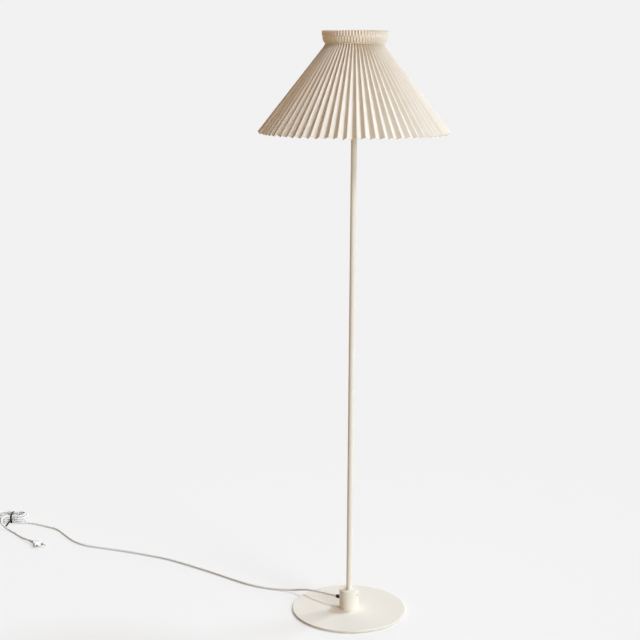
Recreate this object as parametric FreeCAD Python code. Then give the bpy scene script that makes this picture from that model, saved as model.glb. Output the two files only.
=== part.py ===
"""Floor lamp with a pleated shade: base plate, hub and pole, switched lampholder with bulb, wire shade
carrier, pleated shade that lifts off, and a mains cord with a tied hank and a two-pin plug.

Millimetres, +Z up. The origin is the centre of the base's underside, where the lamp stands on the floor.
The front of the lamp faces -Y."""
import FreeCAD, Part
import math
import os

V = FreeCAD.Vector
UP = V(0, 0, 1)

# Base
plate_radius = 140.0
plate_thickness = 5.0
plate_edge_round = 0.8
felt_thickness = 1.0
felt_inset = 5.0

# Hub on the plate, with its screws from below
hub_radius = 24.0
hub_height = 49.0
hub_edge_round = 0.8
hub_floor = 10.0
hub_screw_count = 3
hub_screw_circle = 15.0
hub_screw_radius = 2.5
hub_screw_head_radius = 4.8
hub_screw_head_height = 2.6
hub_screw_depth = 8.0
thread_clearance = 0.05

# Set screw that clamps the pole
set_screw_radius = 2.5
set_screw_drop = 11.4
set_screw_angle = -33.0
set_screw_recess = 0.6
set_screw_socket = 1.25
set_screw_socket_depth = 2.5

# Pole
pole_radius = 7.0
pole_wall = 1.0
pole_length = 1210.0
pole_clearance = 0.05
wire_hole_radius = 4.0

# Cord grip on the hub
grip_angle = 151.0
grip_height = 22.5
grip_length = 12.2
grip_root_radius = 5.0
grip_tip_radius = 4.3
grip_flange_radius = 5.4
grip_flange = 2.0
grip_groove = 0.5
grip_groove_count = 3
grip_spigot_radius = 4.0
grip_spigot_length = 12.0
grip_face_depth = 0.7
grip_clearance = 0.1

# Wires inside the lamp
wire_radius = 1.0
wire_spacing = 2.6
wire_bend = 4.0
wire_spread_bend = 3.0
wire_end_gap = 0.2

# Pole cap, nipple and nuts under the lampholder
cap_radius = 9.0
cap_socket = 10.0
cap_height = 8.0
cap_chamfer = 0.8
nipple_radius = 5.0
nipple_bore = 3.6
nipple_lift = 0.5
nut_flats = 14.0
lock_nut_height = 3.0
nipple_nut_height = 2.5
nipple_proud = 1.0

# Lampholder
holder_radius = 19.5
holder_wall = 1.8
holder_floor = 2.5
holder_corner = 5.0
holder_cap_height = 25.0
skirt_height = 40.0
skirt_lip = 2.0
skirt_lip_height = 2.0
skirt_thread_depth = 0.5
skirt_thread_pitch = 2.0
insulator_height = 8.0
insulator_boss = 8.0
insulator_clearance = 0.1
shell_radius = 14.1
shell_wall = 0.5
shell_height = 24.0
contact_radius = 3.5
contact_height = 2.9
terminal_radius = 2.0
terminal_height = 5.0
terminal_offset = 9.0

# Switch bar that pushes through the lampholder cap
bar_radius = 2.5
bar_offset = 11.5
bar_drop = 10.0
bar_proud_on = 9.0
bar_proud_off = 3.0
bar_clearance = 0.1
bar_dome = 1.0

# Threaded shade rings on the lampholder
ring_rise = 12.0
ring_height = 6.0
ring_width = 5.5
ring_rib_count = 24
ring_rib_radius = 0.8
ring_clearance = 0.05

# Wire shade carrier
carrier_thickness = 2.0
carrier_width = 10.0
carrier_clearance = 0.1
carrier_bore_clearance = 0.4
carrier_rise = 89.9
carrier_arm_count = 3
carrier_wire = 1.5
carrier_arm_inset = 2.2
shade_seat_gap = 0.3

# Bulb with a screw cap
bulb_radius = 30.0
bulb_length = 103.0
bulb_neck_radius = 15.0
bulb_glass_wall = 1.0
bulb_cap_radius = 13.2
bulb_cap_height = 22.0
bulb_cap_wall = 0.5
bulb_cap_plain = 1.0
bulb_thread_depth = 0.5
bulb_thread_pitch = 3.6
bulb_insulator_height = 3.0
bulb_insulator_radius = 10.0
bulb_foot_radius = 4.5
bulb_foot_height = 2.0
bulb_seat_gap = 0.1

# Pleated shade, radii at the outer folds
pleat_count = 68
shade_sheet = 0.6
rim_radius = 224.7
rim_pleat_depth = 8.9
rim_tooth = 3.4
cone_height = 202.5
neck_radius = 69.8
neck_pleat_depth = 12.8
flip_height = 11.5
flip_radius = 73.0
flip_pleat_depth = 3.2
return_height = 22.0
return_radius = 73.7
return_pleat_depth = 3.4
collar_height = 31.0
collar_radius = 73.9
collar_pleat_depth = 6.0
neck_ring_drop = 12.0

# Cord, hank, tie and plug
cord_radius = 2.75
cord_bend_share = 0.45
floor_gap = 0.25
hank_centre = (-983.0, 616.0)
hank_reach = 20.0
hank_waist = 16.5
hank_draw = 6.0
hank_step = 8.0
hank_layer = 6.0
hank_run_count = 10
tie_thickness = 1.0
tie_width = 4.0
tie_gap = 0.3
tie_tail = 30.0
tie_tail_drop = 9.0
plug_angle = -44.0
plug_thickness = 13.7
plug_width = 26.0
plug_neck_width = 12.0
plug_length = 22.0
plug_shoulder = 12.0
plug_edge_round = 2.5
plug_relief_length = 14.0
plug_relief_radius = 4.4
plug_relief_lip = 0.4
pin_spacing = 18.6
pin_radius = 2.0
pin_length = 19.0
pin_sleeve = 10.0
pin_core = 1.6

# Heights that follow
felt_top = felt_thickness
plate_top = felt_top + plate_thickness
hub_top = plate_top + hub_height
pole_bottom = plate_top + hub_floor
pole_top = pole_bottom + pole_length
grip_z = plate_top + grip_height
cap_top = pole_top + cap_height
holder_bottom = cap_top + lock_nut_height
nipple_top = holder_bottom + holder_floor + nipple_nut_height + nipple_proud
skirt_bottom = holder_bottom + holder_cap_height
skirt_top = skirt_bottom + skirt_height
insulator_bottom = skirt_bottom + skirt_lip_height
insulator_top = insulator_bottom + insulator_height
boss_bottom = insulator_bottom - insulator_boss
lower_ring_bottom = skirt_bottom + ring_rise
carrier_bottom = lower_ring_bottom + ring_height + carrier_clearance
carrier_top = carrier_bottom + carrier_thickness
upper_ring_bottom = carrier_top + carrier_clearance
neck_ring_z = carrier_top + carrier_rise
neck_z = neck_ring_z + neck_ring_drop
rim_z = neck_z - cone_height
flip_z = neck_z + flip_height
return_z = neck_z + return_height
shade_top = neck_z + collar_height
foot_z = insulator_top + contact_height + bulb_seat_gap
bulb_cap_bottom = foot_z + bulb_foot_height + bulb_insulator_height
bulb_cap_top = bulb_cap_bottom + bulb_cap_height
bulb_top = foot_z + bulb_length

grip_direction = V(math.cos(math.radians(grip_angle)), math.sin(math.radians(grip_angle)), 0)
grip_side = UP.cross(grip_direction)
grip_face = hub_radius - grip_face_depth
hank_z = cord_radius + floor_gap + tie_thickness + tie_gap
hank_top_z = hank_z + hank_layer * (hank_run_count // 3)
plug_z = plug_thickness / 2 + floor_gap

# Routes of the cord's free stretches, chosen by hand
cord_run_route = [
    V(-9.88, 5.48, 28.5),
    V(-50.73, 28.12, 28.5),
    V(-82.0, 56.0, 24.5),
    V(-112.0, 84.0, 17.0),
    V(-143.0, 105.0, 6.0),
    V(-181.0, 117.0, 3.0),
    V(-222.0, 129.0, 3.0),
    V(-263.0, 150.0, 3.0),
    V(-311.0, 188.0, 3.0),
    V(-366.0, 232.0, 3.0),
    V(-426.0, 276.0, 3.0),
    V(-491.0, 322.0, 3.0),
    V(-556.0, 352.0, 3.0),
    V(-624.0, 380.0, 3.0),
    V(-690.0, 402.0, 3.0),
    V(-738.0, 419.0, 3.0),
    V(-774.0, 451.0, 3.0),
    V(-804.0, 495.0, 3.0),
    V(-834.0, 543.0, 3.0),
    V(-874.0, 568.0, 3.0),
    V(-914.0, 588.5, 3.6),
    V(-940.0, 593.5, 4.3),
    V(-957.5, 593.5, 4.3),
]
cord_tail_route = [
    V(-963.0, 599.3, 22.3),
    V(-993.0, 599.3, 22.3),
    V(-1007.0, 585.5, 22.3),
    V(-1005.5, 563.0, 14.5),
    V(-985.5, 543.5, 5.5),
    V(-968.0, 527.5, 3.0),
    V(-954.0, 512.0, 3.0),
    V(-934.0, 486.0, 3.0),
    V(-917.0, 465.0, 4.6),
    V(-902.39, 449.39, 7.1),
    V(-888.0, 435.5, 7.1),
]


def cylinder(radius, bottom, top):
    return Part.makeCylinder(radius, top - bottom, V(0, 0, bottom))


def tube(outer, inner, bottom, top):
    return cylinder(outer, bottom, top).cut(cylinder(inner, bottom, top))


def rod(radius, start, end):
    along = end - start
    return Part.makeCylinder(radius, along.Length, start, along)


def turned(profile):
    """Solid of revolution about Z from a closed outline of (radius, height) points."""
    points = [V(r, 0, z) for r, z in profile]
    face = Part.Face(Part.makePolygon(points + [points[0]]))
    return face.revolve(V(0, 0, 0), UP, 360)


def hexagon(flats, bore, bottom, height):
    corner = flats / math.sqrt(3)
    points = [
        V(corner * math.cos(math.radians(60 * k)), corner * math.sin(math.radians(60 * k)), bottom)
        for k in range(7)
    ]
    prism = Part.Face(Part.makePolygon(points)).extrude(UP * height)
    return prism.cut(cylinder(bore, bottom, bottom + height))


def around(shape, count, start=0.0):
    """Copies of a shape evenly round the Z axis."""
    copies = []
    for k in range(count):
        copy = shape.copy()
        copy.rotate(V(0, 0, 0), UP, start + 360.0 * k / count)
        copies.append(copy)
    return copies


def outer_edges(shape, radius, height):
    """Circular edges of one radius at one height."""
    found = []
    for edge in shape.Edges:
        curve = edge.Curve
        if isinstance(curve, Part.Circle) and abs(curve.Radius - radius) < 1e-6:
            if abs(curve.Center.z - height) < 1e-6:
                found.append(edge)
    return found


def threads(radius, depth, pitch, bottom, top):
    """Outline points of a row of rounded thread crests, upwards, at a steady pitch."""
    count = int((top - bottom) / pitch)
    points = []
    for k in range(count):
        low = bottom + k * pitch
        points.append((radius - depth, low))
        points.append((radius, low + pitch / 4))
        points.append((radius, low + pitch / 2))
        points.append((radius - depth, low + pitch * 3 / 4))
    return points


def base_plate():
    plate = cylinder(plate_radius, felt_top, plate_top)
    rims = outer_edges(plate, plate_radius, plate_top) + outer_edges(plate, plate_radius, felt_top)
    plate = plate.makeFillet(plate_edge_round, rims)
    for hole in around(hub_screw(thread_clearance), hub_screw_count):
        plate = plate.cut(hole)
    return plate


def hub_screw(grow):
    """One countersunk screw up through the plate into the hub, or its hole when grown."""
    shank = hub_screw_radius + grow
    head = hub_screw_head_radius + grow
    head_top = felt_top + hub_screw_head_height
    end = plate_top + hub_screw_depth + grow
    screw = turned([(0, felt_top), (head, felt_top), (shank, head_top), (shank, end), (0, end)])
    screw.translate(V(hub_screw_circle, 0, 0))
    return screw


def hub_screws():
    return Part.Compound(around(hub_screw(0.0), hub_screw_count))


def set_screw_axis():
    angle = math.radians(set_screw_angle)
    return V(math.cos(angle), math.sin(angle), 0), hub_top - set_screw_drop


def set_screw():
    outward, height = set_screw_axis()
    level = V(0, 0, height)
    inner = level + outward * (pole_radius + pole_clearance)
    outer = level + outward * (hub_radius - set_screw_recess)
    screw = rod(set_screw_radius, inner, outer)
    socket = rod(set_screw_socket, outer - outward * set_screw_socket_depth, outer)
    return screw.cut(socket)


def hub():
    block = cylinder(hub_radius, plate_top, hub_top)
    block = block.makeFillet(hub_edge_round, outer_edges(block, hub_radius, hub_top))
    block = block.cut(cylinder(pole_radius + pole_clearance, pole_bottom, hub_top))
    for hole in around(hub_screw(thread_clearance), hub_screw_count):
        block = block.cut(hole)
    outward, height = set_screw_axis()
    level = V(0, 0, height)
    block = block.cut(rod(set_screw_radius + thread_clearance, level, level + outward * hub_radius))
    grip_level = V(0, 0, grip_z)
    face_start = grip_level + grip_direction * grip_face
    face_end = grip_level + grip_direction * (hub_radius + grip_flange)
    block = block.cut(rod(grip_flange_radius + grip_clearance, face_start, face_end))
    return block.cut(rod(grip_spigot_radius + thread_clearance, grip_level, face_start))


def pole():
    shaft = tube(pole_radius, pole_radius - pole_wall, pole_bottom, pole_top)
    grip_level = V(0, 0, grip_z)
    return shaft.cut(rod(wire_hole_radius, grip_level, grip_level + grip_direction * hub_radius))


def cord_grip():
    """Tapered bush with grooves, turned about Z and then laid along the grip's direction."""
    bore = cord_radius + grip_clearance
    taper = (grip_root_radius - grip_tip_radius) / (grip_length - grip_flange)
    pitch = (grip_length - grip_flange) / (2 * grip_groove_count + 1)
    outline = [
        (bore, -grip_spigot_length),
        (grip_spigot_radius, -grip_spigot_length),
        (grip_spigot_radius, 0),
        (grip_flange_radius, 0),
        (grip_flange_radius, grip_flange),
        (grip_root_radius, grip_flange),
    ]
    for k in range(grip_groove_count):
        near = grip_flange + (2 * k + 1) * pitch
        far = near + pitch
        near_radius = grip_root_radius - taper * (near - grip_flange)
        far_radius = grip_root_radius - taper * (far - grip_flange)
        outline.append((near_radius, near))
        outline.append((near_radius - grip_groove, near))
        outline.append((far_radius - grip_groove, far))
        outline.append((far_radius, far))
    outline += [(grip_tip_radius, grip_length), (bore, grip_length)]
    bush = turned(outline)
    seat = V(0, 0, grip_z) + grip_direction * grip_face
    bush.Placement = FreeCAD.Placement(seat, FreeCAD.Rotation(UP, grip_direction))
    return bush


def rounded_path(points, bends):
    """Straight runs joined by tangent arcs, one given bend radius for each inner point."""
    edges = []
    last = points[0]
    for before, corner, after, bend in zip(points, points[1:], points[2:], bends):
        inward = (before - corner).normalize()
        outward = (after - corner).normalize()
        half_turn = (math.pi - inward.getAngle(outward)) / 2
        reach = bend * math.tan(half_turn)
        start = corner + inward * reach
        end = corner + outward * reach
        bisector = (inward + outward).normalize()
        middle = corner + bisector * (bend / math.cos(half_turn) - bend)
        edges.append(Part.LineSegment(last, start).toShape())
        edges.append(Part.Arc(start, middle, end).toShape())
        last = end
    edges.append(Part.LineSegment(last, points[-1]).toShape())
    return Part.Wire(edges)


def swept(path, start, direction, radius):
    profile = Part.Wire(Part.makeCircle(radius, start, direction))
    return path.makePipeShell([profile], True, False)


def wire(side):
    """One insulated wire from the cord's end, through the hub and up the pole, to its terminal."""
    offset = grip_side * (side * wire_spacing / 2)
    start = V(0, 0, grip_z) + grip_direction * (grip_face - grip_spigot_length) + offset
    foot = V(0, 0, grip_z) + offset
    terminal = V(-side * terminal_offset, 0, boss_bottom - terminal_height)
    knee = V(offset.x, offset.y, nipple_top + wire_radius)
    end = terminal - UP * (wire_radius + wire_end_gap)
    path = rounded_path([start, foot, knee, end], [wire_bend, wire_spread_bend])
    return swept(path, start, grip_direction, wire_radius)


def pole_cap():
    fit = pole_radius + pole_clearance
    bore = nipple_radius + thread_clearance
    return turned([
        (fit, pole_top - cap_socket),
        (cap_radius - cap_chamfer, pole_top - cap_socket),
        (cap_radius, pole_top - cap_socket + cap_chamfer),
        (cap_radius, cap_top - cap_chamfer),
        (cap_radius - cap_chamfer, cap_top),
        (bore, cap_top),
        (bore, pole_top),
        (fit, pole_top),
    ])


def threaded_nipple():
    return tube(nipple_radius, nipple_bore, pole_top + nipple_lift, nipple_top)


def lock_nut():
    return hexagon(nut_flats, nipple_radius + thread_clearance, cap_top, lock_nut_height)


def nipple_nut():
    bottom = holder_bottom + holder_floor
    return hexagon(nut_flats, nipple_radius + thread_clearance, bottom, nipple_nut_height)


def switch_bar_z():
    return skirt_bottom - bar_drop


def lampholder_cap():
    body = cylinder(holder_radius, holder_bottom, skirt_bottom)
    body = body.makeFillet(holder_corner, outer_edges(body, holder_radius, holder_bottom))
    inner = cylinder(holder_radius - holder_wall, holder_bottom + holder_floor, skirt_bottom)
    body = body.cut(inner)
    body = body.cut(cylinder(nipple_radius + thread_clearance, holder_bottom, skirt_bottom))
    left = V(-holder_radius, bar_offset, switch_bar_z())
    right = V(holder_radius, bar_offset, switch_bar_z())
    return body.cut(rod(bar_radius + bar_clearance, left, right))


def switch_bar():
    """Push-through bar, out further on the side that was pressed last."""
    half_chord = math.sqrt(holder_radius ** 2 - bar_offset ** 2)
    left = V(-half_chord - bar_proud_off, bar_offset, switch_bar_z())
    right = V(half_chord + bar_proud_on, bar_offset, switch_bar_z())
    bar = rod(bar_radius, left, right)
    ends = [edge for edge in bar.Edges if isinstance(edge.Curve, Part.Circle)]
    return bar.makeFillet(bar_dome, ends)


def lampholder_skirt():
    outline = [
        (holder_radius - holder_wall - skirt_lip, skirt_bottom),
        (holder_radius, skirt_bottom),
        (holder_radius, upper_ring_bottom + ring_height),
    ]
    thread_bottom = upper_ring_bottom + ring_height
    outline += threads(holder_radius, skirt_thread_depth, skirt_thread_pitch, thread_bottom, skirt_top)
    outline += [
        (holder_radius - skirt_thread_depth, skirt_top),
        (holder_radius - holder_wall, skirt_top),
        (holder_radius - holder_wall, insulator_bottom),
        (holder_radius - holder_wall - skirt_lip, insulator_bottom),
    ]
    return turned(outline)


def lampholder_insulator():
    flange = holder_radius - holder_wall - insulator_clearance
    boss = holder_radius - holder_wall - skirt_lip - insulator_clearance
    return turned([
        (0, boss_bottom),
        (boss, boss_bottom),
        (boss, insulator_bottom),
        (flange, insulator_bottom),
        (flange, insulator_top),
        (0, insulator_top),
    ])


def screw_shell():
    return tube(shell_radius, shell_radius - shell_wall, insulator_top, insulator_top + shell_height)


def centre_contact():
    top = insulator_top + contact_height
    step = insulator_top + contact_height / 2
    return turned([
        (0, insulator_top),
        (contact_radius, insulator_top),
        (contact_radius, step),
        (contact_radius / 2, top),
        (0, top),
    ])


def terminal_screws():
    screws = []
    for side in (-1, 1):
        place = V(side * terminal_offset, 0, boss_bottom - terminal_height)
        screws.append(Part.makeCylinder(terminal_radius, terminal_height, place))
    return Part.Compound(screws)


def shade_ring(bottom):
    outer = holder_radius + ring_width
    ring = tube(outer, holder_radius + ring_clearance, bottom, bottom + ring_height)
    rib = Part.makeCylinder(ring_rib_radius, ring_height, V(outer, 0, bottom))
    for groove in around(rib, ring_rib_count):
        ring = ring.cut(groove)
    return ring


def carrier_plate():
    bore = holder_radius + carrier_bore_clearance
    return tube(bore + carrier_width, bore, carrier_bottom, carrier_top)


def valley_line():
    """Inner fold of the cone as (rim radius, rim height, neck radius) on the sheet's inner face."""
    rim = rim_radius - rim_pleat_depth - sheet_shift(rim_radius, rim_pleat_depth)
    neck = neck_radius - neck_pleat_depth - sheet_shift(neck_radius, neck_pleat_depth)
    return rim, rim_z + rim_tooth, neck


def neck_ring_radius():
    """Centre of the neck ring's wire, just inside the cone's inner folds."""
    rim, rim_height, neck = valley_line()
    slope = (rim - neck) / (neck_z - rim_height)
    wall = neck + slope * (neck_z - neck_ring_z)
    return wall - (carrier_wire + shade_seat_gap) * math.sqrt(1 + slope ** 2)


def neck_ring():
    return Part.makeTorus(neck_ring_radius(), carrier_wire, V(0, 0, neck_ring_z))


def carrier_arms():
    foot_radius = holder_radius + carrier_bore_clearance + carrier_width - carrier_arm_inset
    foot = V(foot_radius, 0, carrier_top - carrier_thickness / 2)
    arm = rod(carrier_wire, foot, V(neck_ring_radius(), 0, neck_ring_z))
    arm = arm.cut(carrier_plate()).cut(neck_ring())
    longest = max(arm.Solids, key=lambda solid: solid.Volume)
    return Part.Compound(around(longest, carrier_arm_count, 90.0))


def sheet_shift(outer, depth):
    """Radial distance between the sheet's two faces, so that its slanted panels keep their thickness."""
    half_pitch = math.pi * (outer - depth / 2) / pleat_count
    return shade_sheet * math.hypot(half_pitch, depth) / half_pitch


def pleat_ring(outer, depth, ridge_z, valley_z, flipped, inner_face):
    """Corner points of one zigzag ring, a ridge and a valley for each pleat, or the reverse when flipped."""
    shift = sheet_shift(outer, depth) if inner_face else 0.0
    points = []
    for k in range(2 * pleat_count):
        angle = math.pi * k / pleat_count
        ridge = (k % 2 == 0) != flipped
        radius = (outer if ridge else outer - depth) - shift
        points.append(V(radius * math.cos(angle), radius * math.sin(angle), ridge_z if ridge else valley_z))
    return points


def pleat_rings(inner_face):
    return [
        pleat_ring(rim_radius, rim_pleat_depth, rim_z, rim_z + rim_tooth, False, inner_face),
        pleat_ring(neck_radius, neck_pleat_depth, neck_z, neck_z, False, inner_face),
        pleat_ring(flip_radius, flip_pleat_depth, flip_z, flip_z, True, inner_face),
        pleat_ring(return_radius, return_pleat_depth, return_z, return_z, False, inner_face),
        pleat_ring(collar_radius, collar_pleat_depth, shade_top, shade_top, False, inner_face),
    ]


def triangles(lower, upper):
    """Two flat triangles for each panel between two zigzag rings."""
    faces = []
    count = len(lower)
    for k in range(count):
        a, b = lower[k], lower[(k + 1) % count]
        c, d = upper[(k + 1) % count], upper[k]
        corners = [(a, b, c), (a, c, d)] if k % 2 == 0 else [(a, b, d), (b, c, d)]
        faces += [Part.Face(Part.makePolygon([*three, three[0]])) for three in corners]
    return faces


def pleated_shade():
    """One pleated sheet: a cone up to the neck, then a collar whose folds reverse twice."""
    outer = pleat_rings(False)
    inner = pleat_rings(True)
    faces = []
    for rings in (outer, inner):
        for lower, upper in zip(rings, rings[1:]):
            faces += triangles(lower, upper)
    faces += triangles(outer[0], inner[0])
    faces += triangles(outer[-1], inner[-1])
    sheet = Part.Compound(faces)
    sheet.sewShape()
    solid = Part.Solid(sheet.Shells[0])
    return solid if solid.Volume > 0 else solid.reversed()


def bulb_skin(inset):
    """Neck, start of the round top, a point on it and its crown, on one face of the glass."""
    radius = bulb_radius - inset
    neck = bulb_neck_radius - inset
    centre = bulb_top - bulb_radius
    rise = centre - bulb_cap_top
    low = math.acos(radius / math.hypot(neck, rise)) - math.atan2(rise, neck)
    high = (low + math.pi / 2) / 2
    return [
        V(neck, 0, bulb_cap_top),
        V(radius * math.cos(low), 0, centre + radius * math.sin(low)),
        V(radius * math.cos(high), 0, centre + radius * math.sin(high)),
        V(0, 0, centre + radius),
    ]


def bulb_glass():
    """Hollow bulb: a round top and a straight flare down to a neck that is open at the cap."""
    neck, low, high, crown = bulb_skin(0.0)
    neck_in, low_in, high_in, crown_in = bulb_skin(bulb_glass_wall)
    edges = [
        Part.LineSegment(neck_in, neck).toShape(),
        Part.LineSegment(neck, low).toShape(),
        Part.Arc(low, high, crown).toShape(),
        Part.LineSegment(crown, crown_in).toShape(),
        Part.Arc(crown_in, high_in, low_in).toShape(),
        Part.LineSegment(low_in, neck_in).toShape(),
    ]
    return Part.Face(Part.Wire(edges)).revolve(V(0, 0, 0), UP, 360)


def bulb_cap():
    """Threaded metal cap with a rolled top that the glass stands on."""
    inner = bulb_cap_radius - bulb_thread_depth - bulb_cap_wall
    low = bulb_cap_bottom + bulb_cap_plain
    high = bulb_cap_top - bulb_cap_plain
    outline = [(bulb_insulator_radius, bulb_cap_bottom)]
    outline += threads(bulb_cap_radius, bulb_thread_depth, bulb_thread_pitch, low, high)
    outline += [
        (bulb_cap_radius, bulb_cap_top - bulb_cap_wall),
        (bulb_neck_radius, bulb_cap_top - bulb_cap_wall),
        (bulb_neck_radius, bulb_cap_top),
        (inner, bulb_cap_top),
        (inner, bulb_cap_bottom + bulb_cap_plain + bulb_cap_wall),
        (bulb_insulator_radius, bulb_cap_bottom + bulb_cap_wall),
    ]
    return turned(outline)


def bulb_insulator():
    return turned([
        (0, bulb_cap_bottom - bulb_insulator_height),
        (bulb_foot_radius, bulb_cap_bottom - bulb_insulator_height),
        (bulb_insulator_radius, bulb_cap_bottom),
        (0, bulb_cap_bottom),
    ])


def bulb_foot():
    return cylinder(bulb_foot_radius, foot_z, foot_z + bulb_foot_height)


def cord_bends(points):
    """Bend radius at each inner point of a free route, as large as its two runs allow."""
    bends = []
    for before, corner, after in zip(points, points[1:], points[2:]):
        shorter = min((corner - before).Length, (after - corner).Length)
        turn = (corner - before).getAngle(after - corner)
        bends.append(cord_bend_share * shorter / math.tan(turn / 2))
    return bends


def cord_tube(name, points):
    bends = cord_bends(points)
    path = rounded_path(points, bends)
    solid = swept(path, points[0], points[1] - points[0], cord_radius)
    ratio = solid.Volume / (math.pi * cord_radius ** 2 * path.Length)
    print(f"{name}: length {path.Length:.1f}, volume over section times length {ratio:.4f}")
    print(f"{name}: bend radii " + " ".join(f"{bend:.0f}" for bend in bends))
    return solid


def biarc(start, start_way, end, end_way):
    """Two arcs that leave one point and reach another in given directions."""
    chord = end - start
    ways = start_way + end_way
    square = ways.dot(ways) - 4
    along = chord.dot(ways)
    if abs(square) < 1e-9:
        reach = chord.dot(chord) / (2 * along)
    else:
        reach = (along - math.sqrt(along ** 2 - square * chord.dot(chord))) / square
    first = start + start_way * reach
    second = end - end_way * reach
    joint = (first + second) / 2
    arcs = []
    for near, corner, far in ((start, first, joint), (joint, second, end)):
        weight = (far - near).Length / 2 / reach
        middle = (near + corner * (2 * weight) + far) / (2 + 2 * weight)
        arcs.append(Part.Arc(near, middle, far).toShape())
    return arcs


def hank_point(along, across, height):
    """From the hank's own directions, along its first run and towards the front, to the lamp's."""
    return V(hank_centre[0] - along, hank_centre[1] - across, height)


def hank_lobe(start, end, way):
    """Half circle round one end of the hank, from one run to the next."""
    radius = abs(start.y - end.y) / 2
    bulge = V(start.x + way * radius, (start.y + end.y) / 2, start.z)
    return Part.Arc(start, bulge, end).toShape()


def hank_path():
    """Loops that spiral in and out by layers, drawn in at the waist, climbing along each third run."""
    edges = []
    for k in range(hank_run_count):
        way = 1 if k % 2 == 0 else -1
        nest = 2 - abs(2 - k % 6)
        waist = way * (hank_waist - nest * hank_step / 2)
        lobe = waist + way * hank_draw
        low = hank_z + hank_layer * (k // 3)
        high = hank_z + hank_layer * ((k + 1) // 3)
        level = V(-way, 0, 0)
        climb = 2 * math.atan((high - low) / (2 * hank_reach))
        tilt = V(-way * math.cos(climb), 0, math.sin(climb))
        start = hank_point(-way * hank_reach, lobe, low)
        middle = hank_point(0, waist, (low + high) / 2)
        end = hank_point(way * hank_reach, lobe, high)
        if k == 0:
            edges.append(Part.LineSegment(start - level * 2 * cord_radius, start).toShape())
        else:
            edges.append(hank_lobe(last, start, way))
        edges += biarc(start, level, middle, tilt)
        edges += biarc(middle, tilt, end, level)
        last = end
    edges.append(hank_lobe(last, cord_tail_route[0], -way))
    return Part.Wire(edges)


def least_self_gap(path, radius):
    """Smallest gap between stretches of a tube that are not neighbours along it, measured on points."""
    spacing = radius / 2
    points = path.discretize(Distance=spacing)
    skip = int(3 * 2 * radius / spacing)
    least = min(
        (points[i] - points[j]).Length
        for i in range(len(points))
        for j in range(i + skip, len(points))
    )
    return least - 2 * radius


def cord_hank():
    path = hank_path()
    start = path.OrderedVertexes[0].Point
    solid = swept(path, start, V(1, 0, 0), cord_radius)
    ratio = solid.Volume / (math.pi * cord_radius ** 2 * path.Length)
    print(f"hank: length {path.Length:.1f}, volume over section times length {ratio:.4f}")
    print(f"hank: least gap to itself {least_self_gap(path, cord_radius):.2f}")
    return solid


def rounded_bar(low_y, high_y, low_z, high_z, corner, x):
    """Bar along X, as long as the tie is wide, with rounded long edges."""
    outline = Part.makePolygon([
        V(x, low_y, low_z),
        V(x, high_y, low_z),
        V(x, high_y, high_z),
        V(x, low_y, high_z),
        V(x, low_y, low_z),
    ])
    block = Part.Face(outline).extrude(V(tie_width, 0, 0))
    long_edges = [edge for edge in block.Edges if abs(edge.tangentAt(edge.FirstParameter).x) > 0.9]
    return block.makeFillet(corner, long_edges)


def hank_tie():
    """Flat band round the hank's waist, with a loose end hanging at the front."""
    reach = cord_radius + tie_gap
    front = hank_centre[1] - hank_waist - reach
    back = hank_centre[1] + hank_waist + hank_step / 2 + reach
    bottom = hank_z - reach
    top = hank_top_z + reach
    left = hank_centre[0] - tie_width / 2
    grow = tie_thickness
    band = rounded_bar(front - grow, back + grow, bottom - grow, top + grow, reach + grow, left)
    band = band.cut(rounded_bar(front, back, bottom, top, reach, left))
    tail_foot = V(left, front - grow, (top + bottom) / 2)
    tail_tip = tail_foot + V(0, -tie_tail, -tie_tail_drop)
    tail = Part.makePolygon([
        tail_foot, tail_foot + UP * grow, tail_tip + UP * grow, tail_tip, tail_foot,
    ])
    return band.fuse(Part.Face(tail).extrude(V(tie_width, 0, 0))).removeSplitter()


def lay_plug(shape):
    """From the plug's own place, with its cord end at the origin and its pins along +X, to the floor."""
    entry = cord_tail_route[-1]
    shape.Placement = FreeCAD.Placement(V(entry.x, entry.y, plug_z), FreeCAD.Rotation(UP, plug_angle))
    return shape


def plug_face():
    return plug_relief_length + plug_length


def plug_body():
    half = plug_thickness / 2
    shoulder = plug_relief_length + plug_shoulder
    outline = [
        V(plug_relief_length, -plug_neck_width / 2, -half),
        V(shoulder, -plug_width / 2, -half),
        V(plug_face(), -plug_width / 2, -half),
        V(plug_face(), plug_width / 2, -half),
        V(shoulder, plug_width / 2, -half),
        V(plug_relief_length, plug_neck_width / 2, -half),
    ]
    body = Part.Face(Part.makePolygon(outline + [outline[0]])).extrude(UP * plug_thickness)
    body = body.makeFillet(plug_edge_round, body.Edges)
    relief = Part.makeCone(
        cord_radius + plug_relief_lip, plug_relief_radius, plug_relief_length + plug_edge_round,
        V(0, 0, 0), V(1, 0, 0))
    body = body.fuse(relief).removeSplitter()
    for side in (-1, 1):
        body = body.cut(rod(
            pin_core, V(plug_face() - pin_sleeve, side * pin_spacing / 2, 0),
            V(plug_face(), side * pin_spacing / 2, 0)))
    return lay_plug(body)


def plug_pins():
    pins = []
    for side in (-1, 1):
        y = side * pin_spacing / 2
        core = rod(pin_core, V(plug_face() - pin_sleeve, y, 0), V(plug_face() + pin_sleeve, y, 0))
        tip = rod(pin_radius, V(plug_face() + pin_sleeve, y, 0), V(plug_face() + pin_length, y, 0))
        far_rim = max(tip.Edges, key=lambda edge: edge.BoundBox.XMin)
        pins.append(core.fuse(tip.makeFillet(pin_radius / 2, [far_rim])).removeSplitter())
    return lay_plug(Part.Compound(pins))


def pin_sleeves():
    sleeves = []
    for side in (-1, 1):
        start = V(plug_face(), side * pin_spacing / 2, 0)
        end = V(plug_face() + pin_sleeve, side * pin_spacing / 2, 0)
        sleeves.append(rod(pin_radius, start, end).cut(rod(pin_core, start, end)))
    return lay_plug(Part.Compound(sleeves))


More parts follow.
